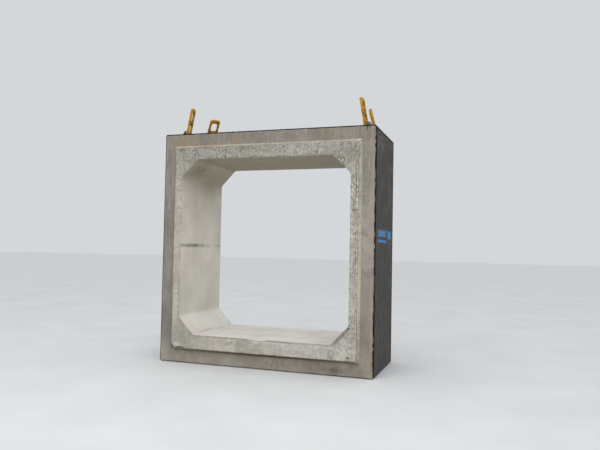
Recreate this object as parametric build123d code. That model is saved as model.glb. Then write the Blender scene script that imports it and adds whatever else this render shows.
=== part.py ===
"""Precast concrete box culvert, one barrel unit, with its lifting clutches hooked on.

X runs across the waterway, Y along it and Z up. The unit stands on its base at z = 0, and
the origin is under the middle of its length and width. The spigot points to -Y and the
socket opens to +Y. All sizes are in millimetres.
"""
from build123d import *
import os
from math import radians, sqrt, tan

# Waterway and the concrete round it
CLEAR_WIDTH = 2700
CLEAR_HEIGHT = 2700
SIDE_WALL = 350
ROOF = 420
BASE = 450
LENGTH = 1400
HAUNCH_WIDTH = 260
HAUNCH_HEIGHT = 270
HAUNCH_EASE = 70
ARRIS = 20

# Joint between two units: a tapered spigot enters the next unit's socket
SHOULDER = 195
SPIGOT_REACH = 60
SPIGOT_TAPER = 33
SPIGOT_ARRIS = 6
SOCKET_GAP = 8
SOCKET_SPARE = 10

# Scoops broken out of the spigot's arrises, each with its half length and depth
FLOOR_SPALL = {"from_middle": -30, "half_length": 175, "depth": 36}
SPIGOT_SPALL = {"from_corner": 150, "half_length": 95, "depth": 24}
CORNER_SPALL = {"half_length": 100, "depth": 46}
HAUNCH_SPALL = {"half_length": 120, "depth": 12}

# Bituminous coat on the roof and both sides, left off round each lifting point
COAT = 4
COAT_CUTOUT = 112

# Cast-in lifting anchors over the side walls, set in from the side and from the end
ANCHOR_INSET = 220
ANCHOR_END = 330
ANCHOR_LENGTH = 340
HEAD_RADIUS = 23.5
SHANK_RADIUS = 14
FOOT_RADIUS = 35
FOOT_THICKNESS = 12
FOOT_FLARE = 18
CAST_GAP = 0.3

# Round recess that the clutch's ball sits in
BALL_DEPTH = 12
RECESS_GAP = 6
RECESS_DRAFT = 5

# Clutch ball, with a slot that locks round the anchor's head
BALL_RADIUS = 76
BALL_CROWN = 30
SEAT_GAP = 0.3
SLOT_GAP = 2
ENTRY_GAP = 1.5
LUG_WIDTH = 72
LUG_FOOT = 62
LUG_WALL = 17
LUG_ROUND = 7
PIVOT_RISE = 60
PIVOT_GAP = 2.5

# Locking tab on the side away from the pull: a horn beside the lug, then a tongue that lies
# over the roof
TAB_REACH = 185
TAB_ROOT = 60
TAB_TIP = 44
TAB_THICKNESS = 18
TAB_GAP = 5
TAB_KNEE = 112
HORN_RISE = 126
HORN_NEAR = 26
HORN_FAR = 54
HORN_ROUND = 12

# Forged bail: a lower bar through the lug, two legs, a web and an eye on top
BAR = 40
BAIL_WIDTH = 180
LEG = 40
BAIL_REACH = 440
WEB_FOOT = 172
WEB = 63
CROWN = 72
BAIL_FOOT_CORNER = 42
BAIL_CROWN_CORNER = 42
SLOT_CORNER = 14
EYE_FOOT_CORNER = 22
EYE_CROWN_CORNER = 26
FORGED_ROUND = 19.5

# Each clutch as it stands: its place, the way it is pulled and how far it leans that way
CLUTCHES = {
    "front_left": {"side": -1, "end": -1, "pull": 12, "lean": 10},
    "back_left": {"side": -1, "end": 1, "pull": -40, "lean": 34},
    "front_right": {"side": 1, "end": -1, "pull": 177, "lean": 10},
    "back_right": {"side": 1, "end": 1, "pull": -165, "lean": 14},
}

# Sizes that follow from the ones above
WIDTH = CLEAR_WIDTH + 2 * SIDE_WALL
HEIGHT = BASE + CLEAR_HEIGHT + ROOF
FACE_Y = -(LENGTH + SPIGOT_REACH) / 2
SHOULDER_Y = FACE_Y + SPIGOT_REACH
BACK_Y = SHOULDER_Y + LENGTH
MIDDLE_Y = SHOULDER_Y + LENGTH / 2
BALL_Z = HEIGHT - BALL_DEPTH
RECESS_RADIUS = BALL_RADIUS + RECESS_GAP
HOLE_RADIUS = BAR / 2 + PIVOT_GAP
BAR_REACH = (BAR / 2 - FORGED_ROUND) * sqrt(2) + FORGED_ROUND
BAR_LIFT = HOLE_RADIUS - BAR_REACH - SEAT_GAP
PIVOT_Z = BALL_Z + PIVOT_RISE + BAR_LIFT
CLEAR_OF_ALL = 2 * BALL_RADIUS


def upright(y, z=HEIGHT / 2):
    """A plane across the barrel at y, facing out of the front, with its middle at height z."""
    return Plane(origin=(0, y, z), x_dir=(1, 0, 0), z_dir=(0, -1, 0))


def outline(inset):
    """The unit's outer outline, brought in by inset all round."""
    return Rectangle(WIDTH - 2 * inset, HEIGHT - 2 * inset)


def waterway_outline():
    """The clear opening, with a haunch across each corner and eased haunch ends."""
    half_width = CLEAR_WIDTH / 2
    half_height = CLEAR_HEIGHT / 2
    points = []
    for side, up in ((1, 1), (-1, 1), (-1, -1), (1, -1)):
        on_wall = (side * half_width, up * (half_height - HAUNCH_HEIGHT))
        on_deck = (side * (half_width - HAUNCH_WIDTH), up * half_height)
        points += [on_wall, on_deck] if side == up else [on_deck, on_wall]
    opening = make_face(Polyline(*points, close=True))
    return fillet(opening.vertices(), HAUNCH_EASE)


def anchor_place(clutch):
    """Where a clutch's anchor stands in plan."""
    x = clutch["side"] * (WIDTH / 2 - ANCHOR_INSET)
    y = MIDDLE_Y + clutch["end"] * (LENGTH / 2 - ANCHOR_END)
    return x, y


def anchor(gap=0):
    """A forged anchor with a ball head at the origin, grown by a gap for its hole."""
    head = HEAD_RADIUS + gap
    shank = SHANK_RADIUS + gap
    foot = FOOT_RADIUS + gap
    neck_z = -sqrt(head ** 2 - shank ** 2)
    foot_z = -ANCHOR_LENGTH + FOOT_THICKNESS + gap
    round_head = ThreePointArc((0, head), (head, 0), (shank, neck_z))
    stem = Polyline(
        (shank, neck_z),
        (shank, foot_z + FOOT_FLARE),
        (foot, foot_z),
        (foot, -ANCHOR_LENGTH - gap),
        (0, -ANCHOR_LENGTH - gap),
        (0, head),
    )
    return revolve(Plane.XZ * make_face([round_head, stem]), Axis.Z)


def recess():
    """The round hollow that the recess former leaves in the roof, about the ball's centre."""
    bowl = RadiusArc((0, -RECESS_RADIUS), (RECESS_RADIUS, 0), -RECESS_RADIUS)
    mouth = Polyline(
        (RECESS_RADIUS, 0),
        (RECESS_RADIUS + RECESS_DRAFT, BALL_DEPTH),
        (0, BALL_DEPTH),
        (0, -RECESS_RADIUS),
    )
    return revolve(Plane.XZ * make_face([bowl, mouth]), Axis.Z)


def block():
    """The outside of the barrel, a plain block with every arris bevelled."""
    barrel = extrude(upright(SHOULDER_Y) * outline(0), -LENGTH)
    return chamfer(barrel.edges(), ARRIS)


def scoop(place, outwards, spall):
    """A ball that cuts a shell-shaped scoop of the given length and depth at a place."""
    depth = spall["depth"]
    radius = (spall["half_length"] ** 2 + depth ** 2) / (2 * depth)
    centre = Vector(*place) + Vector(*outwards).normalized() * (radius - depth)
    return Pos(centre) * Sphere(radius)


def spalls():
    """The scoops: in the floor's front arris, the left haunch's, the spigot's foot and corner."""
    left = -(WIDTH / 2 - SHOULDER - SPIGOT_TAPER)
    low = SHOULDER + SPIGOT_TAPER
    haunch_x = -CLEAR_WIDTH / 2 + HAUNCH_WIDTH / 2
    haunch_z = BASE + HAUNCH_HEIGHT / 2
    across = (HAUNCH_HEIGHT, -sqrt(HAUNCH_WIDTH ** 2 + HAUNCH_HEIGHT ** 2), HAUNCH_WIDTH)
    return [
        scoop((FLOOR_SPALL["from_middle"], FACE_Y, BASE), (0, -1, 1), FLOOR_SPALL),
        scoop((left + SPIGOT_SPALL["from_corner"], FACE_Y, low), (0, -1, -1), SPIGOT_SPALL),
        scoop((left, FACE_Y, low), (-1, -1, -1), CORNER_SPALL),
        scoop((haunch_x, FACE_Y, haunch_z), across, HAUNCH_SPALL),
    ]


def culvert_box():
    """The casting: barrel, chipped spigot, socket, waterway and the hollows for the anchors."""
    spigot_root = upright(SHOULDER_Y) * outline(SHOULDER)
    spigot_face = upright(FACE_Y) * outline(SHOULDER + SPIGOT_TAPER)
    spigot = loft([spigot_root, spigot_face])
    spigot = chamfer(spigot.faces().sort_by(Axis.Y)[0].edges(), SPIGOT_ARRIS) - spalls()

    socket_depth = SPIGOT_REACH + SOCKET_SPARE
    socket_taper = SPIGOT_TAPER * socket_depth / SPIGOT_REACH
    socket_mouth = upright(BACK_Y) * outline(SHOULDER - SOCKET_GAP)
    socket_floor = upright(BACK_Y - socket_depth) * outline(SHOULDER - SOCKET_GAP + socket_taper)
    socket = loft([socket_mouth, socket_floor])

    middle = BASE + CLEAR_HEIGHT / 2
    waterway = extrude(upright(FACE_Y, middle) * waterway_outline(), -(LENGTH + SPIGOT_REACH))

    box = block() + spigot - socket - waterway
    for clutch in CLUTCHES.values():
        x, y = anchor_place(clutch)
        box -= Pos(x, y, BALL_Z) * recess()
        box -= Pos(x, y, BALL_Z) * anchor(CAST_GAP)
    return box


def coats():
    """The bituminous coat: a skin over the roof and one over each side, wrapped over their
    bevelled arrises and mitred where they meet. The underside and the two ends stay bare."""
    bevel = ARRIS + COAT * (2 - sqrt(2))
    over = Box(WIDTH + 2 * COAT, LENGTH + 2 * COAT, HEIGHT + 2 * COAT)
    over = Pos(0, MIDDLE_Y, HEIGHT / 2) * chamfer(over.edges(), bevel)
    reach = Pos(0, MIDDLE_Y, ARRIS) * Box(
        2 * WIDTH, LENGTH, HEIGHT, align=(Align.CENTER, Align.CENTER, Align.MIN))
    skin = (over - block()) & reach

    flat = WIDTH / 2 - ARRIS
    spread = 2 * ARRIS * tan(radians(22.5))
    over_roof = make_face(Polyline(
        (-flat + spread, HEIGHT - 2 * ARRIS),
        (flat - spread, HEIGHT - 2 * ARRIS),
        (flat + spread, HEIGHT + 2 * ARRIS),
        (-flat - spread, HEIGHT + 2 * ARRIS),
        close=True,
    ))
    over_roof = extrude(upright(SHOULDER_Y, 0) * over_roof, -LENGTH)
    roof = skin & over_roof
    for clutch in CLUTCHES.values():
        x, y = anchor_place(clutch)
        roof -= Pos(x, y, HEIGHT) * Cylinder(COAT_CUTOUT, 4 * COAT)
    left, right = (skin - over_roof).solids().sort_by(Axis.X)
    return {"roof_membrane": roof, "left_wall_membrane": left, "right_wall_membrane": right}


def clutch_ball():
    """The clutch's ball, its lug and its tab, about the ball's centre, pulled towards +X."""
    ball = Sphere(BALL_RADIUS) & Pos(0, 0, BALL_CROWN - CLEAR_OF_ALL) * Box(
        2 * CLEAR_OF_ALL, 2 * CLEAR_OF_ALL, 2 * CLEAR_OF_ALL)
    eye = Pos(0, PIVOT_RISE) * Circle(HOLE_RADIUS + LUG_WALL)
    foot = Line((-LUG_FOOT, 0), (LUG_FOOT, 0))
    cheek = make_hull([*eye.edges(), foot])
    lug = extrude(Plane.XZ * cheek, LUG_WIDTH / 2, both=True)
    cheek_edges = [edge for edge in lug.edges() if edge.center().Z > 1 and abs(edge.center().Y) > 1]
    lug = fillet(cheek_edges, LUG_ROUND)

    bar_hole = Pos(0, 0, PIVOT_RISE) * Rot(90, 0, 0) * Cylinder(HOLE_RADIUS, 2 * LUG_WIDTH)
    return ball + lug + locking_tab() - bar_hole - head_slot()


def locking_tab():
    """The horn and the tongue in one, tapering in plan towards the tongue's round tip."""
    tip = Pos(-TAB_REACH + TAB_TIP / 2, 0) * Circle(TAB_TIP / 2)
    root = Line((0, -TAB_ROOT / 2), (0, TAB_ROOT / 2))
    low = BALL_DEPTH + COAT + TAB_GAP
    in_plan = extrude(Pos(0, 0, low) * make_hull([*tip.edges(), root]), HORN_RISE)
    in_side_view = make_face(Polyline(
        (0, PIVOT_RISE),
        (-HORN_NEAR, HORN_RISE),
        (-HORN_FAR, HORN_RISE),
        (-TAB_KNEE, low + TAB_THICKNESS),
        (-TAB_REACH, low + TAB_THICKNESS),
        (-TAB_REACH, low),
        (0, low),
        close=True,
    ))
    horn_corners = in_side_view.vertices().sort_by(Axis.Y)[-2:]
    in_side_view = fillet(horn_corners, HORN_ROUND)
    return in_plan & extrude(Plane.XZ * in_side_view, TAB_ROOT, both=True)


def head_slot():
    """The hollow in the ball: a seat for the head, its way in and a slot for the shank."""
    seat = Sphere(HEAD_RADIUS + SEAT_GAP)
    way_in = Rot(0, 90, 0) * Cylinder(
        HEAD_RADIUS + ENTRY_GAP, CLEAR_OF_ALL, align=(Align.CENTER, Align.CENTER, Align.MIN))
    shank = SHANK_RADIUS + SLOT_GAP
    drop = Cylinder(shank, CLEAR_OF_ALL, align=(Align.CENTER, Align.CENTER, Align.MAX))
    swing = Box(CLEAR_OF_ALL, 2 * shank, CLEAR_OF_ALL, align=(Align.MIN, Align.CENTER, Align.MAX))
    return seat + way_in + drop + swing


def bail():
    """The forged bail about the middle of its lower bar, standing up, with the bar along Y."""
    foot_z = -BAR / 2
    height = BAIL_REACH - foot_z
    plate = Pos(0, foot_z + height / 2) * Rectangle(BAIL_WIDTH, height)
    by_height = plate.vertices().sort_by(Axis.Y)
    plate = fillet(by_height[:2], BAIL_FOOT_CORNER)
    plate = fillet(plate.vertices().sort_by(Axis.Y)[-2:], BAIL_CROWN_CORNER)

    inner = BAIL_WIDTH - 2 * LEG
    slot = window(inner, BAR / 2, WEB_FOOT, SLOT_CORNER, EYE_FOOT_CORNER)
    eye = window(inner, WEB_FOOT + WEB, BAIL_REACH - CROWN, EYE_FOOT_CORNER, EYE_CROWN_CORNER)
    link = extrude(Plane.YZ * (plate - slot - eye), BAR / 2, both=True)
    rims = [edge for edge in link.edges() if abs(edge.center().X) > BAR / 2 - 1]
    return fillet(rims, FORGED_ROUND)


def window(width, low, high, foot_corner, crown_corner):
    """A flat opening in the bail from low to high, with its own corners below and above."""
    opening = Pos(0, (low + high) / 2) * Rectangle(width, high - low)
    opening = fillet(opening.vertices().sort_by(Axis.Y)[:2], foot_corner)
    return fillet(opening.vertices().sort_by(Axis.Y)[-2:], crown_corner)


parts = {"culvert_box": culvert_box(), **coats()}
for name, clutch in CLUTCHES.items():
    x, y = anchor_place(clutch)
    turned = Rot(0, 0, clutch["pull"])
    parts[f"anchor_{name}"] = Pos(x, y, BALL_Z) * anchor()
    parts[f"clutch_ball_{name}"] = Pos(x, y, BALL_Z) * turned * clutch_ball()
    parts[f"clutch_bail_{name}"] = Pos(x, y, PIVOT_Z) * turned * Rot(0, clutch["lean"], 0) * bail()

os.makedirs("parts", exist_ok=True)
for name, part in parts.items():
    part.label = name
    export_step(part, f"parts/{name}.step")
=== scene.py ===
from math import acos, cos, pi, radians, sin, tan

import bpy
import numpy as np
from mathutils import Matrix, Vector


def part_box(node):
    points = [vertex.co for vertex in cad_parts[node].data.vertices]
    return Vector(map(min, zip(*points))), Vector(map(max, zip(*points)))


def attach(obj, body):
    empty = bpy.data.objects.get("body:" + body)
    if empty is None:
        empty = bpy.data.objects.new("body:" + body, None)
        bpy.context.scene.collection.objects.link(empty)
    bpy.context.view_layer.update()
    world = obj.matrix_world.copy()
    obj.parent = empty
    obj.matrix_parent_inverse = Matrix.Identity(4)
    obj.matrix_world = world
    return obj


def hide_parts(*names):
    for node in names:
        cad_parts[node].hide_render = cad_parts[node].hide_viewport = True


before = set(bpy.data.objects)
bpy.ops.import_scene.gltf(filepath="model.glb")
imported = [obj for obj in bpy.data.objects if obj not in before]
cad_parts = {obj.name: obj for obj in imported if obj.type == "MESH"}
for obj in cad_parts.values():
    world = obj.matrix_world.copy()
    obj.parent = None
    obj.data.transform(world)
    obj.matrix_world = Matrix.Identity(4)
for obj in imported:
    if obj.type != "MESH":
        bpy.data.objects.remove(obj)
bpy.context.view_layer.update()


# The culvert box. One casting of pale precast concrete, with a spigot in front and a socket
# behind. Its skin is woven as one closed sleeve of rings: the outside, the front face, the
# waterway and the rear face. The front was cast against a rough former and is chipped.
box_low, box_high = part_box("culvert_box")
WIDTH = box_high.x - box_low.x
HEIGHT = box_high.z
FRONT = box_low.y
BACK = box_high.y
CLEAR_WIDTH = 2.700
CLEAR_HEIGHT = 2.700
BASE = 0.450
HAUNCH_WIDTH = 0.260
HAUNCH_HEIGHT = 0.270
HAUNCH_EASE = 0.070
ARRIS = 0.020
SHOULDER = 0.195
SPIGOT_REACH = 0.060
SPIGOT_TAPER = 0.033
SPIGOT_ARRIS = 0.006
SOCKET_GAP = 0.008
SOCKET_DEPTH = 0.070
SHOULDER_Y = FRONT + SPIGOT_REACH
SEAM_Z = 1.820
SEAM_HALF = 0.004
SEAM_RISE = 0.002
PER_SIDE = 200
EASE_STEPS = 6
CROWDED_TO_FRONT = 1.7


def along_side(side):
    """Where a ring's points lie along one side, from 0 to 1. Both walls, which are sides 1 and 3,
    have three more of them close by the seam."""
    evenly = np.linspace(0, 1, PER_SIDE, endpoint=False)
    if side in (0, 2):
        return evenly
    half_haunch = np.hypot(HAUNCH_WIDTH, HAUNCH_HEIGHT) / 2
    whole = 2 * half_haunch + CLEAR_HEIGHT - 2 * HAUNCH_HEIGHT
    seam = (half_haunch + BASE + CLEAR_HEIGHT - HAUNCH_HEIGHT - SEAM_Z) / whole
    seam = seam if side == 1 else 1 - seam
    close = seam + np.array((-1, 0, 1)) * SEAM_HALF / whole
    return np.sort(np.append(evenly, close))


def rectangle_ring(inset, y, bevel=0.0):
    """Points round the outline brought in by inset, clockwise from the top left corner, which
    has its corners cut off where a bevel is given."""
    x, bottom, top = WIDTH / 2 - inset, inset, HEIGHT - inset
    corners = np.array(((-x, y, top), (x, y, top), (x, y, bottom), (-x, y, bottom)))
    inwards = np.array(((1, 0, -1), (-1, 0, -1), (-1, 0, 1), (1, 0, 1)))
    sides = []
    for side in range(4):
        start, end = corners[side], corners[(side + 1) % 4]
        t = along_side(side)
        if bevel:
            t[1] = bevel / np.linalg.norm(end - start)
            t[-1] = 1 - t[1]
        path = start * (1 - t[:, None]) + end * t[:, None]
        path[0] += inwards[side] * bevel / 2
        sides.append(path)
    return np.concatenate(sides)


def eased_corner(before, corner, after):
    """A short curve that eases the corner between two straight runs."""
    to_corner = (corner - before) / np.linalg.norm(corner - before)
    from_corner = (after - corner) / np.linalg.norm(after - corner)
    reach = HAUNCH_EASE * tan(acos(to_corner @ from_corner) / 2)
    start, end = corner - to_corner * reach, corner + from_corner * reach
    t = np.linspace(0, 1, EASE_STEPS + 1)[:, None]
    return start * (1 - t) ** 2 + corner * 2 * t * (1 - t) + end * t ** 2


def waterway_ring(y, grown=0.0):
    """Points round the clear opening, clockwise from the middle of the top left haunch."""
    x, floor, roof = CLEAR_WIDTH / 2 + grown, BASE - grown, BASE + CLEAR_HEIGHT + grown
    in_x, low, high = x - HAUNCH_WIDTH, floor + HAUNCH_HEIGHT, roof - HAUNCH_HEIGHT
    corners = np.array((
        (-x, y, high), (-in_x, y, roof), (in_x, y, roof), (x, y, high),
        (x, y, low), (in_x, y, floor), (-in_x, y, floor), (-x, y, low)))
    sides = []
    for side in range(4):
        haunch, first, second, next_haunch = (corners[(2 * side + i) % 8] for i in range(4))
        path = np.concatenate((
            [(haunch + first) / 2],
            eased_corner(haunch, first, second),
            eased_corner(first, second, next_haunch),
            [(second + next_haunch) / 2]))
        run = np.append(0, np.cumsum(np.linalg.norm(np.diff(path, axis=0), axis=1)))
        t = along_side(side) * run[-1]
        sides.append(np.column_stack([np.interp(t, run, path[:, i]) for i in range(3)]))
    return np.concatenate(sides)


# Four finishes, numbered as in the list of finished concrete further on.
FORMED, STRUCK, SMOOTH, SLOPE = 0, 1, 2, 3
socket_taper = SPIGOT_TAPER * SOCKET_DEPTH / SPIGOT_REACH
socket_floor_y = BACK - SOCKET_DEPTH
spigot_edge = SHOULDER + SPIGOT_TAPER
stations = [
    # ring, steps to the next one, finish, roughness at the ring, sharpness of its arris
    (rectangle_ring(0, BACK - ARRIS, ARRIS), 10, FORMED, 0.1, 0.3),
    (rectangle_ring(0, SHOULDER_Y + ARRIS, ARRIS), 2, FORMED, 0.1, 0.3),
    (rectangle_ring(ARRIS, SHOULDER_Y), 13, FORMED, 0.1, 0.3),
    (rectangle_ring(SHOULDER, SHOULDER_Y), 5, SLOPE, 0.2, 0.0),
    (rectangle_ring(spigot_edge - SPIGOT_ARRIS / 2, FRONT + SPIGOT_ARRIS), 1, FORMED, 0.5, 1.0),
    (rectangle_ring(spigot_edge + SPIGOT_ARRIS, FRONT), 13, STRUCK, 1.0, 1.0),
    (waterway_ring(FRONT, SPIGOT_ARRIS), 1, STRUCK, 1.0, 1.0),
    (waterway_ring(FRONT + SPIGOT_ARRIS), 36, SMOOTH, 0.1, 1.0),
    (waterway_ring(socket_floor_y), 8, STRUCK, 0.1, 0.3),
    (rectangle_ring(SHOULDER - SOCKET_GAP + socket_taper, socket_floor_y), 4, FORMED, 0.3, 0.0),
    (rectangle_ring(SHOULDER - SOCKET_GAP, BACK), 8, FORMED, 0.1, 0.4),
    (rectangle_ring(ARRIS, BACK), 2, FORMED, 0.1, 0.3),
]
rings, finishes, roughness, sharpness = [], [], [], []
for station, following in zip(stations, stations[1:] + stations[:1]):
    ring, steps, finish, rough, sharp = station
    next_ring, next_sharp = following[0], following[-1]
    for step in range(steps):
        t = step / steps
        if finish == SMOOTH:
            t = t ** CROWDED_TO_FRONT
        rings.append(ring * (1 - t) + next_ring * t)
        finishes.append(finish)
        roughness.append(rough)
        sharpness.append(sharp if step == 0 else next_sharp if step == steps - 1 else 0)
points = np.array(rings)
ring_count, point_count = points.shape[:2]

# The joint of the inner mould leaves a fine raised line on both walls of the waterway.
in_waterway = (np.array(finishes) == SMOOTH)[:, None]
on_seam = in_waterway & (np.abs(points[:, :, 2] - SEAM_Z) < SEAM_HALF / 2)
points[:, :, 0] -= np.where(on_seam, np.sign(points[:, :, 0]) * SEAM_RISE, 0)


def scoop_out(place, outwards, half_length, depth):
    """Breaks a shell-shaped scoop out of the skin: what lies in a ball is pushed to its wall."""
    radius = (half_length ** 2 + depth ** 2) / (2 * depth)
    direction = np.array(outwards) / np.linalg.norm(outwards)
    centre = np.array(place) + direction * (radius - depth)
    away = points - centre
    distance = np.linalg.norm(away, axis=2, keepdims=True)
    inside = (distance < radius) & (points[:, :, 1:2] < SHOULDER_Y)
    points[:] = np.where(inside, centre + away * radius / distance, points)


left = -WIDTH / 2 + spigot_edge
haunch_middle = (-CLEAR_WIDTH / 2 + HAUNCH_WIDTH / 2, FRONT, BASE + HAUNCH_HEIGHT / 2)
across_haunch = (HAUNCH_HEIGHT, -np.hypot(HAUNCH_WIDTH, HAUNCH_HEIGHT), HAUNCH_WIDTH)
chips = [
    # place, the way out of the skin, half length, depth
    ((-0.030, FRONT, BASE), (0, -1, 1), 0.175, 0.036),
    ((left + 0.150, FRONT, spigot_edge), (0, -1, -1), 0.095, 0.024),
    ((left, FRONT, spigot_edge), (-1, -1, -1), 0.100, 0.046),
    (haunch_middle, across_haunch, 0.120, 0.012),
]
for chip in chips:
    scoop_out(*chip)


def new_piece(name, points, faces):
    """A new piece in the scene, made from its points and faces."""
    mesh = bpy.data.meshes.new(name)
    mesh.from_pydata(points, [], faces)
    piece = bpy.data.objects.new(name, mesh)
    bpy.context.scene.collection.objects.link(piece)
    return piece


here = np.arange(ring_count * point_count).reshape(ring_count, point_count)
on_ring = np.roll(here, -1, axis=1)
quads = np.stack([here, np.roll(here, -1, axis=0), np.roll(on_ring, -1, axis=0), on_ring], axis=2)
culvert = new_piece("culvert_unit", points.reshape(-1, 3), quads.reshape(-1, 4))
for name, per_ring in (("rough", roughness), ("arris", sharpness)):
    attribute = culvert.data.attributes.new(name, "FLOAT", "POINT")
    attribute.data.foreach_set("value", np.repeat(per_ring, point_count).astype(np.float32))
attribute = culvert.data.attributes.new("finish", "INT", "FACE")
attribute.data.foreach_set("value", np.repeat(finishes, point_count).astype(np.int32))


def node(tree, kind, inputs=None, **settings):
    """Adds a node to a tree, makes its settings, and feeds its inputs from values or sockets."""
    made = tree.nodes.new(kind)
    for name, value in settings.items():
        setattr(made, name, value)
    for key, value in (inputs or {}).items():
        if isinstance(value, bpy.types.NodeSocket):
            tree.links.new(value, made.inputs[key])
        else:
            made.inputs[key].default_value = value
    return made


def reckon(tree, how, first, second=0.0, clamp=False):
    """One sum on numbers."""
    inputs = {0: first, 1: second}
    return node(tree, "ShaderNodeMath", inputs, operation=how, use_clamp=clamp).outputs[0]


def spread(tree, value, low, high, to_low=0.0, to_high=1.0):
    """Stretches a number from one range to another, and holds it there."""
    inputs = {0: value, 1: low, 2: high, 3: to_low, 4: to_high}
    return node(tree, "ShaderNodeMapRange", inputs).outputs[0]


def named_inputs(tree, sizes):
    """Gives a tree a mesh and some named sizes to start from, and says where they come out."""
    tree.interface.new_socket("Geometry", in_out="OUTPUT", socket_type="NodeSocketGeometry")
    tree.interface.new_socket("Geometry", in_out="INPUT", socket_type="NodeSocketGeometry")
    for name, value in sizes.items():
        socket = tree.interface.new_socket(name, in_out="INPUT", socket_type="NodeSocketFloat")
        socket.default_value = value
    return tree.nodes.new("NodeGroupInput").outputs


def worked(piece, tree=None, **sizes):
    """Runs a tree on a piece, with any of its named sizes changed, and leaves a plain mesh."""
    if tree:
        modifier = piece.modifiers.new(tree.name, "NODES")
        modifier.node_group = tree
        for item in tree.interface.items_tree:
            if item.name in sizes:
                modifier[item.identifier] = sizes[item.name]
    graph = bpy.context.evaluated_depsgraph_get()
    seen = piece.evaluated_get(graph)
    mesh = bpy.data.meshes.new_from_object(seen, preserve_all_data_layers=True, depsgraph=graph)
    piece.modifiers.clear()
    piece.data = mesh
    return piece


def attribute_of(tree, name):
    """A number that the mesh carries at each point or face."""
    return node(tree, "GeometryNodeInputNamedAttribute", {"Name": name}, data_type="FLOAT").outputs[0]


def lump(tree, size, seed, detail=3.0):
    """Three-dimensional noise with lumps of about the given size, from about 0 to 1."""
    scale = reckon(tree, "DIVIDE", 1.0, size)
    inputs = {"W": seed, "Scale": scale, "Detail": detail, "Roughness": 0.55}
    noise = node(tree, "ShaderNodeTexNoise", inputs, noise_dimensions="4D")
    return spread(tree, noise.outputs[0], 0.3, 0.7)


def pushed_in(tree, skin, depth):
    """Moves a skin inwards by a depth, and leaves it as one real mesh."""
    inwards = node(tree, "ShaderNodeVectorMath", {
        0: node(tree, "GeometryNodeInputNormal").outputs[0],
        "Scale": reckon(tree, "MULTIPLY", depth, -1.0)}, operation="SCALE").outputs[0]
    moved = node(tree, "GeometryNodeSetPosition", {0: skin, "Offset": inwards}).outputs[0]
    return node(tree, "GeometryNodeRealizeInstances", {0: moved}).outputs[0]


# The relief is worked into the skin by a tree of rules: a slow swell of the mould, the
# grain of the struck face, and chips along the arrises. All of it goes inwards.
relief = bpy.data.node_groups.new("relief", "GeometryNodeTree")
size = named_inputs(relief, {
    "swell": 0.0012, "swell_size": 0.60, "grain": 0.0060, "grain_size": 0.050,
    "fine": 0.0025, "fine_size": 0.020, "chip": 0.006, "chip_size": 0.070, "seed": 3.0})
swell = reckon(relief, "MULTIPLY", lump(relief, size["swell_size"], size["seed"], 1.0), size["swell"])
grain = reckon(relief, "MULTIPLY", lump(relief, size["grain_size"], size["seed"]), size["grain"])
fine = reckon(relief, "MULTIPLY", lump(relief, size["fine_size"], size["seed"], 1.0), size["fine"])
grain = reckon(relief, "MULTIPLY", reckon(relief, "ADD", grain, fine), attribute_of(relief, "rough"))
bite = spread(relief, lump(relief, size["chip_size"], size["seed"]), 0.55, 0.9)
bitten = reckon(relief, "MULTIPLY", bite, size["chip"])
bitten = reckon(relief, "MULTIPLY", bitten, attribute_of(relief, "arris"))
depth = reckon(relief, "ADD", reckon(relief, "ADD", swell, grain), bitten)
concrete_skin = pushed_in(relief, size["Geometry"], depth)


def colour(red, green, blue):
    """A colour as it looks on a screen, from 0 to 255, in the linear values that Blender takes."""
    return tuple(((part / 255 + 0.055) / 1.055) ** 2.4 for part in (red, green, blue)) + (1.0,)


def mixed(tree, share, first, second, how="MIX"):
    """Two colours mixed by a share. The node's sockets 0, 6 and 7 take the share and the two."""
    inputs = {0: share, 6: first, 7: second}
    return node(tree, "ShaderNodeMix", inputs, data_type="RGBA", blend_type=how).outputs[2]


def cloud(tree, place, size, detail=4.0, low=0.35, high=0.65):
    """Noise with clouds of about the given size in metres, stretched to run from 0 to 1."""
    noise = node(tree, "ShaderNodeTexNoise", {"Vector": place, "Scale": 1 / size, "Detail": detail})
    return spread(tree, noise.outputs[0], low, high)


def stretched(tree, place, along):
    """Places squeezed along the axes, so that a pattern on them is drawn out."""
    return node(tree, "ShaderNodeMapping", {"Vector": place, "Scale": along}).outputs[0]


def near(tree, place, centre, reach):
    """How near a place lies to a centre, from 1 there to 0 at the reach along each axis."""
    inputs = {"Vector": place, "Location": centre, "Scale": reach}
    around = node(tree, "ShaderNodeMapping", inputs, vector_type="TEXTURE").outputs[0]
    distance = node(tree, "ShaderNodeVectorMath", {0: around}, operation="LENGTH").outputs["Value"]
    return spread(tree, distance, 1.0, 0.2)


def new_material(name):
    """An empty node material: its tree, its shader and the places on the piece."""
    material = bpy.data.materials.new(name)
    material.use_nodes = True
    tree = material.node_tree
    place = node(tree, "ShaderNodeTexCoord").outputs["Object"]
    return material, tree, tree.nodes["Principled BSDF"], place


def finish_surface(tree, shader, base, height, depth, roughness):
    """Feeds a shader with its colour, a bump of a given depth in metres, and its roughness."""
    bump = node(tree, "ShaderNodeBump", {"Height": height, "Distance": depth, "Strength": 1.0})
    tree.links.new(bump.outputs[0], shader.inputs["Normal"])
    tree.links.new(base, shader.inputs["Base Color"])
    tree.links.new(roughness, shader.inputs["Roughness"])


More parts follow.
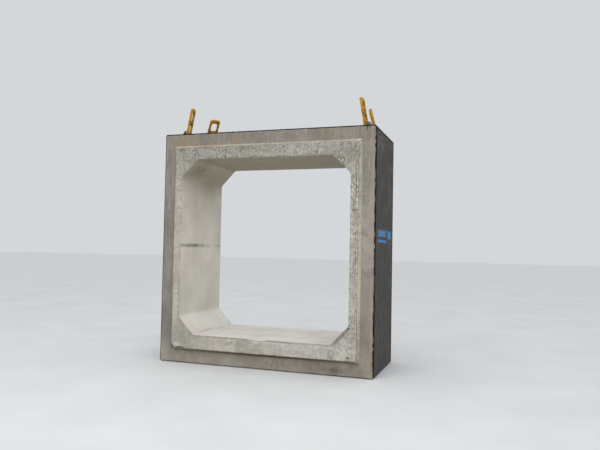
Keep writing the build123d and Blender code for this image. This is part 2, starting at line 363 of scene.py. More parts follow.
def warped(tree, place, size, reach):
    """Places shaken along each axis by slow noise, so that a pattern on them runs unevenly."""
    noise = node(tree, "ShaderNodeTexNoise", {"Vector": place, "Scale": 1 / size, "Detail": 3.0})
    offset = node(tree, "ShaderNodeVectorMath", {
        0: noise.outputs[1], 1: (0.5, 0.5, 0.5)}, operation="SUBTRACT").outputs[0]
    twice = tuple(2 * along for along in reach)
    offset = node(tree, "ShaderNodeVectorMath", {0: offset, 1: twice}, operation="MULTIPLY").outputs[0]
    return node(tree, "ShaderNodeVectorMath", {0: place, 1: offset}, operation="ADD").outputs[0]


def streaked(tree, base, place, uneven_place, dark, light, streaks):
    """Uneven dark and pale streaks down the face, which fade towards its foot."""
    height = node(tree, "ShaderNodeSeparateXYZ", {0: place}).outputs["Z"]
    streaks = reckon(tree, "MULTIPLY", spread(tree, height, 0.3, 1.0, 0.40, 1.0), streaks)
    drawn = stretched(tree, uneven_place, (9.0, 9.0, 0.55))
    run = reckon(tree, "MULTIPLY", cloud(tree, drawn, 0.35, 7.0, 0.40, 0.68), streaks)
    run = reckon(tree, "MULTIPLY", run, cloud(tree, place, 0.30, 3.0, 0.30, 0.60))
    base = mixed(tree, run, base, dark)
    pale_run = cloud(tree, stretched(tree, drawn, (1.3, 1.3, 1.3)), 0.30, 7.0, 0.54, 0.70)
    return mixed(tree, reckon(tree, "MULTIPLY", pale_run, streaks), base, light)


def grained(tree, base, place, uneven_place, dark, light, grain_size, grain):
    """Smears, flecks and pits that come and go and are strongest at the upper right. The
    flecks come out too, for the bump."""
    axes = node(tree, "ShaderNodeSeparateXYZ", {0: place}).outputs
    up_and_right = spread(tree, reckon(tree, "ADD", axes["X"], axes["Z"]), 0.0, 3.6, 0.22, 1.32)
    smear = cloud(tree, stretched(tree, uneven_place, (1.0, 1.0, 1.7)), grain_size * 9, 6.0, 0.40, 0.62)
    smeared = reckon(tree, "MULTIPLY", up_and_right, grain * 0.45)
    base = mixed(tree, smeared, base, mixed(tree, smear, dark, light))

    comes_and_goes = spread(tree, cloud(tree, place, 0.20, 3.0), 0.0, 1.0, 0.25, 1.0)
    share = reckon(tree, "MULTIPLY", reckon(tree, "MULTIPLY", comes_and_goes, up_and_right), grain)
    fleck = cloud(tree, stretched(tree, uneven_place, (1.0, 1.0, 0.44)), grain_size, 4.0, 0.38, 0.62)
    base = mixed(tree, share, base, mixed(tree, fleck, dark, light))
    pits = cloud(tree, stretched(tree, uneven_place, (1.0, 1.0, 0.6)), grain_size * 1.5, 4.0, 0.58, 0.66)
    base = mixed(tree, reckon(tree, "MULTIPLY", pits, share), base, colour(92, 88, 79))
    return base, fleck


def worn_on_arrises(tree, base, place):
    """Brown wear that comes and goes along the sharp arrises, strongest low down."""
    height = node(tree, "ShaderNodeSeparateXYZ", {0: place}).outputs["Z"]
    arris = node(tree, "ShaderNodeAttribute", attribute_name="arris").outputs["Fac"]
    worn = cloud(tree, place, 0.45, 5.0, 0.30, 0.60)
    worn = reckon(tree, "MULTIPLY", spread(tree, arris, 0.45, 0.90), worn)
    worn = reckon(tree, "MULTIPLY", spread(tree, height, 0.7, 1.0, 0.42, 0.22), worn)
    return mixed(tree, worn, base, colour(98, 86, 72))


def air_holes(tree, place):
    """Small round holes left by air at the mould, in about one cell of seven."""
    cells = node(tree, "ShaderNodeTexVoronoi", {"Vector": place, "Scale": 24.0})
    chance = node(tree, "ShaderNodeSeparateColor", {0: cells.outputs["Color"]}).outputs[0]
    hole = spread(tree, cells.outputs["Distance"], 0.17, 0.07)
    return reckon(tree, "MULTIPLY", hole, reckon(tree, "GREATER_THAN", chance, 0.86))


PIT_SIZE = 0.016


def stained(tree, base, place, stains):
    """Stains, each with its middle, its reach along each axis, its colour, its strength and the
    size of its patches. Patches up to the size of a pit stand apart, and larger ones run together."""
    for middle, reach, tint, strength, patch_size in stains:
        apart = 0.30 if patch_size > PIT_SIZE else 0.48
        ragged = cloud(tree, place, patch_size, 4.0, apart, 0.60)
        mask = reckon(tree, "MULTIPLY", near(tree, place, middle, reach), ragged)
        base = mixed(tree, reckon(tree, "MULTIPLY", mask, strength), base, colour(*tint))
    return base


def concrete(name, mid, dark, light, grain_size, grain, streaks, bump_depth, painted_light_and_shade, stains):
    """Concrete: slow clouds, streaks, grain, painted shade and light that come in with height, worn arrises,
    sand, air holes and stains. Each painted shade says what it leaves of each part of the light."""
    material, tree, shader, place = new_material(name)
    uneven_place = warped(tree, place, 0.5, (0.06, 0.06, 0.06))
    clouds = cloud(tree, place, 0.45, 5.0)
    base = mixed(tree, 0.48, mid, mixed(tree, clouds, dark, light))
    base = streaked(tree, base, place, uneven_place, dark, light, streaks)
    base, fleck = grained(tree, base, place, uneven_place, dark, light, grain_size, grain)
    height = node(tree, "ShaderNodeSeparateXYZ", {0: place}).outputs["Z"]
    # Painted light and shade: the colour is darkened or lightened by height where light and shade would
    # fall.
    for low, high, leaves in painted_light_and_shade:
        base = mixed(tree, spread(tree, height, low, high), base, leaves + (1.0,), "MULTIPLY")
    base = worn_on_arrises(tree, base, place)
    sand = cloud(tree, place, 0.006, 2.0)
    base = mixed(tree, reckon(tree, "MULTIPLY", sand, 0.10), base, dark)
    hole = air_holes(tree, place)
    base = mixed(tree, reckon(tree, "MULTIPLY", hole, 0.7), base, colour(92, 88, 80))
    base = stained(tree, base, place, stains)

    bump = reckon(tree, "ADD", fleck, reckon(tree, "MULTIPLY", sand, 0.4))
    bump = reckon(tree, "SUBTRACT", bump, hole)
    finish_surface(tree, shader, base, bump, bump_depth, spread(tree, clouds, 0.0, 1.0, 0.80, 0.94))
    shader.inputs["Specular IOR Level"].default_value = 0.25
    return material


FACE_REACH = 0.4


def on_front(across, up, reach_across, reach_up, tint, strength, patch_size):
    """A stain on the front of the unit, which covers both the spigot and the face behind it."""
    return (across, FRONT, up), (reach_across, FACE_REACH, reach_up), tint, strength, patch_size


formed_stains = [
    # Ochre, rust and damp along the top.
    on_front(-1.38, 3.46, 0.34, 0.14, (150, 138, 106), 1.00, 0.30),
    on_front(-1.04, 3.552, 0.06, 0.022, (148, 106, 74), 0.80, 0.02),
    on_front(-0.45, 3.435, 0.10, 0.06, (166, 128, 92), 0.95, 0.05),
    on_front(-0.10, 3.47, 0.20, 0.07, (134, 122, 112), 0.60, 0.05),
    on_front(0.45, 3.49, 0.30, 0.05, (134, 124, 112), 0.60, 0.06),
    # Paler down both sides, on the right as painted light where the lamp's light falls off, and a pale line
    # beside the spigot.
    on_front(1.58, 1.95, 0.26, 1.10, (180, 173, 164), 0.75, 0.12),
    on_front(1.58, 0.90, 0.20, 0.60, (168, 157, 146), 0.55, 0.30),
    on_front(-1.60, 1.25, 0.20, 0.60, (166, 159, 148), 0.50, 0.30),
    on_front(-1.473, 1.90, 0.008, 1.90, (206, 198, 178), 1.00, 0.10),
    # Narrow runs of ochre and rust.
    on_front(0.96, 3.51, 0.034, 0.080, (142, 116, 66), 1.00, 0.04),
    on_front(1.07, 3.50, 0.024, 0.090, (146, 122, 88), 0.90, 0.04),
    on_front(0.56, 0.14, 0.045, 0.090, (158, 130, 102), 0.80, 0.05),
    on_front(1.46, 3.49, 0.020, 0.060, (124, 106, 86), 0.70, 0.04),
    # Black drips from the coat at both top corners.
    on_front(1.570, 3.530, 0.015, 0.060, (44, 42, 40), 2.5, 0.20),
    on_front(1.602, 3.550, 0.012, 0.034, (44, 42, 40), 2.5, 0.20),
    on_front(1.520, 3.558, 0.120, 0.020, (58, 54, 50), 0.9, 0.03),
    on_front(-1.63, 3.560, 0.050, 0.016, (58, 54, 50), 0.9, 0.03),
    # Peach and ochre wear down the right arris.
    on_front(1.656, 3.370, 0.035, 0.13, (166, 136, 114), 0.95, 0.05),
    on_front(1.664, 2.75, 0.028, 0.75, (176, 158, 134), 0.70, 0.15),
    on_front(1.660, 1.97, 0.035, 0.16, (186, 152, 128), 0.95, 0.05),
    on_front(1.662, 1.00, 0.030, 1.10, (180, 166, 138), 0.90, 0.15),
    on_front(1.672, 0.20, 0.026, 0.20, (150, 134, 92), 0.95, 0.05),
    # Dirt along the foot.
    on_front(-1.35, 0.07, 0.30, 0.10, (146, 134, 114), 0.3, 0.05),
    on_front(0.20, 0.09, 0.50, 0.12, (132, 118, 106), 0.6, 0.06),
    on_front(1.10, 0.10, 0.70, 0.16, (112, 103, 94), 0.9, 0.20),
]
struck_stains = [
    # Rust and green-grey dirt under the top edge.
    on_front(-1.37, 3.30, 0.07, 0.06, (100, 98, 88), 0.95, 0.03),
    on_front(-1.00, 3.338, 0.14, 0.026, (122, 88, 62), 0.95, 0.03),
    on_front(-0.57, 3.332, 0.08, 0.020, (124, 96, 74), 0.90, 0.03),
    on_front(-0.20, 3.31, 0.50, 0.04, (120, 116, 104), 0.6, 0.03),
    on_front(0.965, 3.338, 0.030, 0.025, (142, 84, 50), 1.0, 0.04),
    on_front(1.38, 3.20, 0.12, 0.12, (118, 120, 100), 0.7, 0.016),
    # Buff, grey and pale patches, most of them low down.
    on_front(-0.40, 0.365, 0.30, 0.075, (162, 151, 134), 0.8, 0.10),
    on_front(0.60, 0.31, 0.40, 0.06, (146, 134, 124), 0.6, 0.04),
    on_front(-1.22, 0.56, 0.18, 0.12, (196, 182, 158), 0.5, 0.04),
    on_front(-0.70, 0.33, 0.26, 0.14, (172, 163, 146), 0.7, 0.30),
    on_front(0.80, 0.36, 0.60, 0.16, (226, 222, 216), 0.35, 0.60),
    on_front(0.80, 3.27, 0.80, 0.20, (206, 204, 194), 0.25, 0.60),
    on_front(-1.41, 0.95, 0.07, 0.42, (222, 219, 210), 0.9, 0.04),
    on_front(-1.37, 0.28, 0.12, 0.07, (222, 213, 196), 0.9, 0.02),
    # Close dark pits about the lower right haunch.
    on_front(1.15, 0.52, 0.10, 0.08, (88, 83, 74), 1.0, 0.016),
    on_front(1.24, 0.61, 0.10, 0.10, (88, 83, 74), 1.0, 0.016),
    on_front(1.34, 0.70, 0.09, 0.12, (88, 83, 74), 1.0, 0.016),
    # Single marks at the lower right: a pale one in a dark rim, three of dirt and one of rust.
    on_front(1.095, 0.310, 0.070, 0.095, (96, 90, 80), 1.0, 0.03),
    on_front(1.107, 0.328, 0.040, 0.056, (228, 224, 214), 1.0, 0.03),
    on_front(1.347, 0.279, 0.038, 0.034, (104, 98, 74), 1.0, 0.03),
    on_front(1.411, 0.298, 0.022, 0.026, (120, 114, 102), 0.9, 0.02),
    on_front(1.436, 0.569, 0.020, 0.020, (166, 124, 92), 0.9, 0.02),
    # A thin painted shadow line just inside the right edge, damp and pale bands down both edges.
    on_front(1.432, 2.75, 0.014, 0.50, (98, 96, 86), 0.9, 0.03),
    on_front(1.405, 2.35, 0.028, 0.38, (116, 120, 102), 0.8, 0.05),
    on_front(1.410, 1.50, 0.026, 0.70, (122, 122, 112), 0.7, 0.04),
    on_front(1.410, 1.20, 0.080, 0.75, (228, 224, 217), 0.35, 0.12),
    on_front(-1.42, 2.50, 0.030, 0.90, (196, 188, 164), 0.7, 0.06),
    on_front(-1.465, 1.90, 0.020, 1.90, (212, 204, 184), 0.9, 0.05),
    on_front(-1.41, 1.60, 0.09, 1.20, (198, 190, 166), 0.35, 0.30),
    # Painted shadow line just inside the right edge.
    on_front(1.438, 1.80, 0.012, 1.60, (104, 98, 86), 0.9, 0.05),
]
smooth_stains = [
    # Grey bands along the mould seam, and a damp patch above it.
    ((-1.35, 0.0, SEAM_Z), (0.10, 1.30, 0.042), (134, 130, 120), 0.85, 0.60),
    ((-1.35, -0.45, SEAM_Z), (0.10, 0.60, 0.040), (112, 108, 99), 0.80, 0.10),
    ((1.35, 0.0, SEAM_Z), (0.10, 1.30, 0.050), (140, 136, 126), 0.50, 0.60),
    ((-1.35, -0.68, 2.15), (0.10, 0.30, 0.45), (150, 146, 134), 0.30, 0.60),
    # Rust at the foot of the lower left haunch, bloom on it, and damp in the upper left one.
    ((-1.104, -0.24, BASE + 0.016), (0.018, 0.34, 0.03), (166, 122, 84), 0.90, 0.05),
    ((-1.072, 0.14, BASE), (0.020, 0.24, 0.03), (168, 134, 102), 0.90, 0.05),
    ((-1.22, -0.60, BASE + 0.10), (0.12, 0.20, 0.20), (214, 196, 172), 0.6, 0.06),
    ((-1.22, -0.40, 3.02), (0.22, 0.34, 0.18), (112, 99, 82), 0.55, 0.07),
    # A small spot and a broad grey shade on the floor of the waterway.
    ((0.58, 0.62, BASE), (0.03, 0.03, 0.03), (116, 100, 84), 0.8, 0.01),
    ((1.00, 0.0, BASE), (0.50, 1.20, 0.10), (172, 166, 156), 0.6, 0.60),
]
slope_stains = [
    # Painted light down the right slope, where it faces away from the lamp; a painted shadow under the
    # spigot along its foot; rust along the top; damp at the right.
    on_front(1.49, 1.90, 0.12, 2.20, (226, 217, 196), 1.0, 0.05),
    on_front(1.49, 1.90, 0.12, 2.20, (226, 217, 196), 1.0, 0.30),
    # Painted shadow on the downward face of the slope under the spigot.
    on_front(0.00, 0.212, 1.80, 0.035, (78, 68, 56), 0.9, 2.00),
    on_front(-0.95, 3.365, 0.30, 0.05, (140, 112, 86), 0.8, 0.03),
    on_front(0.30, 3.375, 1.70, 0.08, (150, 143, 130), 0.7, 0.30),
    on_front(1.475, 2.60, 0.05, 0.50, (140, 138, 124), 0.6, 0.03),
]
# The shades below are painted light and shade by height: on the front darker towards the top and lighter at
# the foot, and in the waterway lighter up the walls, darker on its floor, darker into the upper haunches and
# darker on the soffit.
finished_concrete = [
    concrete("formed_concrete", colour(149, 143, 134), colour(116, 110, 101), colour(174, 168, 160),
             grain_size=0.014, grain=0.24, streaks=0.70, bump_depth=0.0006,
             painted_light_and_shade=[(3.25, 3.45, (0.86, 0.85, 0.84)), (0.45, 0.15, (1.34, 1.34, 1.30))],
             stains=formed_stains),
    concrete("struck_concrete", colour(198, 193, 183), colour(130, 126, 116), colour(228, 223, 214),
             grain_size=0.019, grain=0.68, streaks=0.35, bump_depth=0.0024,
             painted_light_and_shade=[(2.6, 3.25, (0.68, 0.69, 0.68)), (0.55, 0.30, (1.09, 1.09, 1.10))],
             stains=struck_stains),
    concrete("waterway_concrete", colour(212, 209, 201), colour(190, 185, 175), colour(226, 224, 218),
             grain_size=0.014, grain=0.12, streaks=0.09, bump_depth=0.0004,
             painted_light_and_shade=[(0.6, 1.8, (1.24, 1.22, 1.19)), (0.60, 0.46, (0.88, 0.87, 0.885)),
                     (2.60, 2.95, (0.68, 0.65, 0.62)), (2.95, 3.08, (1.14, 1.15, 1.16)),
                     (3.12, 3.15, (0.76, 0.75, 0.74))],
             stains=smooth_stains),
    concrete("slope_concrete", colour(168, 161, 146), colour(136, 129, 114), colour(190, 183, 167),
             grain_size=0.020, grain=0.35, streaks=0.30, bump_depth=0.0010,
             painted_light_and_shade=[], stains=slope_stains),
]
finish_of = attribute_of(relief, "finish")
for number, material in enumerate(finished_concrete):
    inputs = {0: finish_of, 1: float(number), "Epsilon": 0.1}
    this_one = node(relief, "FunctionNodeCompare", inputs, data_type="FLOAT", operation="EQUAL").outputs[0]
    concrete_skin = node(relief, "GeometryNodeSetMaterial", {
        0: concrete_skin, "Selection": this_one, "Material": material}).outputs[0]
node(relief, "NodeGroupOutput", {0: concrete_skin})
worked(culvert, relief)

# Round hollows are left in the roof by the recess formers, one about each anchor's head.
BALL_DEPTH = 0.012
RECESS_RADIUS = 0.082
RECESS_DRAFT = 0.005
BOWL_FLAT = 0.0005
BOWL_STEPS = 12
CLUTCHES = ("front_left", "back_left", "front_right", "back_right")


def middle_of(name):
    """The middle of a CAD node."""
    low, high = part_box(name)
    return (low + high) / 2


def turned_shape(name, profile, centres, sides=64, wave=0.0):
    """A solid turned from a profile of radius and height, repeated round several centres."""
    points, faces = [], []
    for centre in centres:
        first = len(points)
        for radius, z in profile:
            for side in range(sides):
                angle = 2 * pi * side / sides
                out = radius * (1 + wave * (sin(3 * angle + first) + 0.6 * sin(7 * angle + 2 * first)))
                points.append((centre[0] + out * cos(angle), centre[1] + out * sin(angle), centre[2] + z))
        for level in range(len(profile) - 1):
            for side in range(sides):
                a, b = first + level * sides + side, first + level * sides + (side + 1) % sides
                faces.append((a, b, b + sides, a + sides))
        faces.append(tuple(first + side for side in reversed(range(sides))))
        faces.append(tuple(first + (len(profile) - 1) * sides + side for side in range(sides)))
    return new_piece(name, points, faces)


def cut_by(piece, cutter):
    """Cuts a shape out of a piece for good and throws the cutter away."""
    modifier = piece.modifiers.new("cut", "BOOLEAN")
    modifier.object = cutter
    modifier.solver = "EXACT"
    worked(piece)
    bpy.data.objects.remove(cutter)


def smooth(piece, sharp_from=40):
    """Shades a piece smoothly, but not over its arrises."""
    piece.data.shade_smooth()
    piece.data.set_sharp_from_angle(angle=radians(sharp_from))


anchors = [middle_of(f"anchor_{name}") for name in CLUTCHES]
heads = [(anchor.x, anchor.y, HEIGHT - BALL_DEPTH) for anchor in anchors]
bowl = []
for step in range(BOWL_STEPS + 1):
    angle = pi / 2 * step / BOWL_STEPS
    bowl.append((RECESS_RADIUS * sin(angle) + BOWL_FLAT, -RECESS_RADIUS * cos(angle)))
bowl.append((RECESS_RADIUS + 2 * RECESS_DRAFT, 2 * BALL_DEPTH))
cut_by(culvert, turned_shape("recess_formers", bowl, heads))
smooth(culvert)
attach(culvert, "root")
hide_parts("culvert_box")


# The bituminous coat. A black skin is rolled over the roof and both sides and round their
# bevelled arrises, grey on the flats with dust and painted sheen, and left off round each anchor.
COAT = 0.004
COAT_CUTOUT = 0.112
COAT_STEP = 0.015
EDGE_VALUES = 400
EDGE_START = 2.0
BRUSH_WIDTH = 0.055
TUFT_WIDTH = 0.022
ENDS_REACH = 0.045
coat_bevel = ARRIS + COAT * (2 - 2 ** 0.5)


def lines_between(low, high, bevel):
    """Grid lines from one end to the other, evenly spaced, with the bevels' lines among them."""
    count = round((high - low - 2 * bevel) / COAT_STEP)
    return np.concatenate(([low, low + bevel / 2], np.linspace(low + bevel, high - bevel, count),
                           [high - bevel / 2, high]))


def coat_skin(name, across, along, form):
    """A grid skin over one face of the unit: its form gives points from two flat distances."""
    flat_a, flat_b = np.meshgrid(across, along, indexing="ij")
    points = form(flat_a, flat_b)
    count_a, count_b = flat_a.shape
    here = np.arange(count_a * count_b).reshape(count_a, count_b)
    quads = np.stack([here[:-1, :-1], here[1:, :-1], here[1:, 1:], here[:-1, 1:]], axis=2)
    return new_piece(name, points.reshape(-1, 3), quads.reshape(-1, 4))


MIDDLE_Y = (SHOULDER_Y + BACK) / 2
half_length = (BACK - SHOULDER_Y) / 2
half_width = WIDTH / 2


def falls(distance, half):
    """How far the bevel has fallen away at a distance from the middle of a face."""
    return np.maximum(0, np.abs(distance) - (half + COAT - coat_bevel))


def uneven(run, seed, reach, pace):
    """An uneven edge: smooth steps between seeded random values, one every pace metres."""
    values = np.random.default_rng(seed).uniform(0, 1, EDGE_VALUES) ** 2
    paces = (run + EDGE_START) / pace
    before = np.floor(paces).astype(int)
    t = paces - before
    t = t * t * (3 - 2 * t)
    return reach * (values[before] * (1 - t) + values[before + 1] * t)


def drawn_back(y, run, seed, reach):
    """Distances along the unit, drawn back at both ends to the uneven edge of the brushwork."""
    short = uneven(run, seed, reach, BRUSH_WIDTH) + uneven(run, seed + 1, 0.4 * reach, TUFT_WIDTH)
    from_end = half_length - np.abs(y - MIDDLE_Y)
    return y - np.sign(y - MIDDLE_Y) * short * np.clip(1 - from_end / ENDS_REACH, 0, 1)


def over_roof(x, y):
    """The top of the coat over the roof."""
    y = drawn_back(y, x, seed=20, reach=0.006)
    return np.stack([x, y, HEIGHT + COAT - falls(y - MIDDLE_Y, half_length)], axis=2)


def over_side(side):
    """The outside of the coat over the left or right side, up to the edge of the roof."""
    def form(y, z):
        y = drawn_back(y, z, seed=30 + side, reach=0.014)
        drop = np.maximum(falls(y - MIDDLE_Y, half_length), falls(z - HEIGHT / 2, HEIGHT / 2))
        drop = np.where(z < HEIGHT / 2, falls(y - MIDDLE_Y, half_length), drop)
        return np.stack([side * (half_width + COAT - drop), y, z], axis=2)
    return form


roof_edge = half_width + COAT - coat_bevel
coat_lines = lines_between(SHOULDER_Y, BACK, ARRIS)
roof_lines = lines_between(-roof_edge, roof_edge, ARRIS)
side_lines = lines_between(ARRIS, HEIGHT + COAT, coat_bevel)
coats = [
    # name, grid lines one way and the other, the form they lie on, the CAD piece it stands for
    ("roof_coat", roof_lines, coat_lines, over_roof, "roof_membrane"),
    ("left_coat", coat_lines[::-1], side_lines, over_side(-1), "left_wall_membrane"),
    ("right_coat", coat_lines, side_lines, over_side(1), "right_wall_membrane"),
]
SPRAYED = [
    # middle along the side and up, half length and half height, lean in degrees
    (-0.19, 2.045, 0.31, 0.048, 1.0),
    (0.41, 2.030, 0.15, 0.060, 2.0),
    (-0.17, 1.932, 0.31, 0.022, -1.0),
]


def sprayed_marks(tree, place):
    """Where the side is sprayed with a few plain horizontal strokes, thin in places."""
    shaken = warped(tree, place, 0.09, (0.0, 0.06, 0.012))
    sprayed = 0.0
    for centre_y, centre_z, reach_y, reach_z, lean in SPRAYED:
        around = node(tree, "ShaderNodeMapping", {
            "Vector": shaken, "Location": (half_width, centre_y, centre_z),
            "Rotation": (radians(lean), 0, 0), "Scale": (1.0, reach_y, reach_z)}, vector_type="TEXTURE")
        axes = node(tree, "ShaderNodeSeparateXYZ", {0: around.outputs[0]}).outputs
        far_along, far_up = (reckon(tree, "ABSOLUTE", axes[axis]) for axis in "YZ")
        far = reckon(tree, "MAXIMUM", far_along, far_up)
        sprayed = reckon(tree, "MAXIMUM", sprayed, spread(tree, far, 1.25, 0.65))
    thin = cloud(tree, stretched(tree, place, (1.0, 0.25, 1.0)), 0.03, 3.0, 0.30, 0.60)
    return reckon(tree, "MULTIPLY", sprayed, spread(tree, thin, 0.0, 1.0, 0.65, 0.92))


def bitumen(marked):
    """Bitumen: near black where it is thick on the arrises, grey on the flats with dust and with painted
    sheen, streaked, scuffed near the top, and on one side sprayed with blue strokes."""
    material, tree, shader, place = new_material("marked_bitumen" if marked else "bitumen")
    black, dust_and_sheen_grey, pale = colour(30, 30, 32), colour(88, 86, 84), colour(132, 126, 114)
    drawn = stretched(tree, warped(tree, place, 0.3, (0.06, 0.06, 0.10)), (1.6, 1.6, 0.8))
    run = cloud(tree, drawn, 0.34, 10.0, 0.34, 0.62)
    clouds = cloud(tree, place, 0.28, 6.0)
    dust_and_sheen = reckon(tree, "ADD", reckon(tree, "MULTIPLY", run, 0.75), reckon(tree, "MULTIPLY", clouds, 0.30))
    # The grey on the flats is partly dust and partly painted sheen, the sky's reflection at a grazing angle;
    # the arrises and ends are painted back to black without it.
    base = mixed(tree, reckon(tree, "ADD", dust_and_sheen, 0.20, clamp=True), black, dust_and_sheen_grey)
    blotch = cloud(tree, stretched(tree, place, (1.0, 0.6, 1.0)), 0.11, 6.0, 0.40, 0.60)
    base = mixed(tree, 0.42, base, mixed(tree, blotch, colour(66, 72, 78), colour(92, 83, 74)))
    pale_run = cloud(tree, stretched(tree, drawn, (1.7, 1.7, 1.2)), 0.30, 6.0, 0.58, 0.70)
    base = mixed(tree, reckon(tree, "MULTIPLY", pale_run, 0.38), base, pale)
    speck = cloud(tree, place, 0.012, 3.0, 0.58, 0.70)
    base = mixed(tree, reckon(tree, "MULTIPLY", speck, 0.45), base, pale)
    slanted = node(tree, "ShaderNodeMapping", {
        "Vector": place, "Rotation": (radians(-4), 0, 0), "Scale": (1.0, 1.0, 0.09)}, vector_type="TEXTURE")
    scuff = reckon(tree, "MULTIPLY", cloud(tree, slanted.outputs[0], 0.35, 4.0, 0.50, 0.60),
                   near(tree, place, (half_width, -0.15, 3.40), (0.3, 0.80, 0.24)))
    base = mixed(tree, reckon(tree, "MULTIPLY", scuff, 0.70), base, pale)

    axes = node(tree, "ShaderNodeSeparateXYZ", {0: place}).outputs
    ragged = reckon(tree, "MULTIPLY", cloud(tree, place, 0.10, 4.0), 0.035)
    ends = reckon(tree, "ABSOLUTE", reckon(tree, "SUBTRACT", axes["Y"], MIDDLE_Y))
    by_end = spread(tree, reckon(tree, "ADD", ends, ragged), half_length - 0.035, half_length - 0.012)
    base = mixed(tree, by_end, base, black)
    sides = reckon(tree, "ADD", reckon(tree, "ABSOLUTE", axes["X"]), ragged)
    upper = reckon(tree, "ADD", axes["Z"], ragged)
    top_arris = reckon(tree, "MULTIPLY", spread(tree, sides, half_width - 0.04, half_width - 0.01),
                       spread(tree, upper, HEIGHT - 0.04, HEIGHT - 0.01))
    base = mixed(tree, top_arris, base, black)
    if marked:
        base = mixed(tree, sprayed_marks(tree, place), base, colour(90, 156, 210))
    height = reckon(tree, "ADD", reckon(tree, "MULTIPLY", run, 0.6), cloud(tree, place, 0.02, 4.0))
    finish_surface(tree, shader, base, height, 0.0008, spread(tree, dust_and_sheen, 0.0, 0.6, 0.70, 0.88))
    shader.inputs["Specular IOR Level"].default_value = 0.20
    return material


plain_bitumen, marked_bitumen = bitumen(False), bitumen(True)
drum = [(COAT_CUTOUT, -5 * COAT), (COAT_CUTOUT, 5 * COAT)]
tops = [(anchor.x, anchor.y, HEIGHT) for anchor in anchors]
for name, across, along, form, stands_for in coats:
    skin = coat_skin(name, across, along, form)
    skin.data.materials.append(marked_bitumen if name == "right_coat" else plain_bitumen)
    skin.data.shade_smooth()
    thick = skin.modifiers.new("thickness", "SOLIDIFY")
    thick.thickness = COAT
    thick.offset = -1
    worked(skin)
    if name == "roof_coat":
        cut_by(skin, turned_shape("cut_outs", drum, tops, sides=96, wave=0.025))
    smooth(skin, sharp_from=25)
    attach(skin, "root")
    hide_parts(stands_for)


# The lifting anchors. Forged steel bars with a ball head, cast into the side walls, so only
# their heads show in the recesses. They keep their CAD shape and get a worn steel finish.
def steel(name, bare, scale, rust, dulled):
    """Forged steel: dark scale with bare worn patches and a bloom of rust."""
    material, tree, shader, place = new_material(name)
    worn = cloud(tree, place, 0.05, 5.0, 0.45, 0.62)
    base = mixed(tree, worn, scale, bare)
    bloom = cloud(tree, place, 0.028, 6.0, 0.52, 0.66)
    base = mixed(tree, reckon(tree, "MULTIPLY", bloom, 0.8), base, rust)
    pitted = cloud(tree, place, 0.004, 3.0)
    base = mixed(tree, reckon(tree, "MULTIPLY", pitted, 0.25), base, scale)
    finish_surface(tree, shader, base, reckon(tree, "ADD", pitted, bloom), 0.0006,
                   spread(tree, worn, 0.0, 1.0, dulled, dulled - 0.2))
    shader.inputs["Metallic"].default_value = 0.75
    return material


anchor_steel = steel("anchor_steel", colour(150, 146, 138), colour(84, 80, 76), colour(122, 78, 48), 0.6)
ball_steel = steel("ball_steel", colour(110, 106, 100), colour(52, 50, 48), colour(96, 60, 38), 0.6)
for name in CLUTCHES:
    anchor_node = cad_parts[f"anchor_{name}"]
    anchor_node.data.materials.clear()
    anchor_node.data.materials.append(anchor_steel)


# The clutch balls and their bails. Both are drop forgings: the ball locks round the anchor's
# head, and the bail swings on the ball's lug. Its yellow paint is rubbed through at the crown
# and chipped and rusty at the web and the foot.
WELD_DISTANCE = 0.00002


def forging(name, node_name, voxel):
    """A fine-grained copy of a CAD node, with its arrises softened as a forging's are, and
    with how far up each point stands, from 0 at its foot to 1 at its crown."""
    copy = bpy.data.objects.new(name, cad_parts[node_name].data.copy())
    bpy.context.scene.collection.objects.link(copy)
    copy.data.materials.clear()
    weld = copy.modifiers.new("weld", "WELD")
    weld.merge_threshold = WELD_DISTANCE
    grains = copy.modifiers.new("grains", "REMESH")
    grains.mode = "VOXEL"
    grains.voxel_size = voxel
    soften = copy.modifiers.new("soften", "SMOOTH")
    soften.factor = 0.5
    soften.iterations = 3
    worked(copy)
    heights = np.array([vertex.co.z for vertex in copy.data.vertices])
    up = (heights - heights.min()) / np.ptp(heights)
    copy.data.attributes.new("up", "FLOAT", "POINT").data.foreach_set("value", up.astype(np.float32))
    return copy


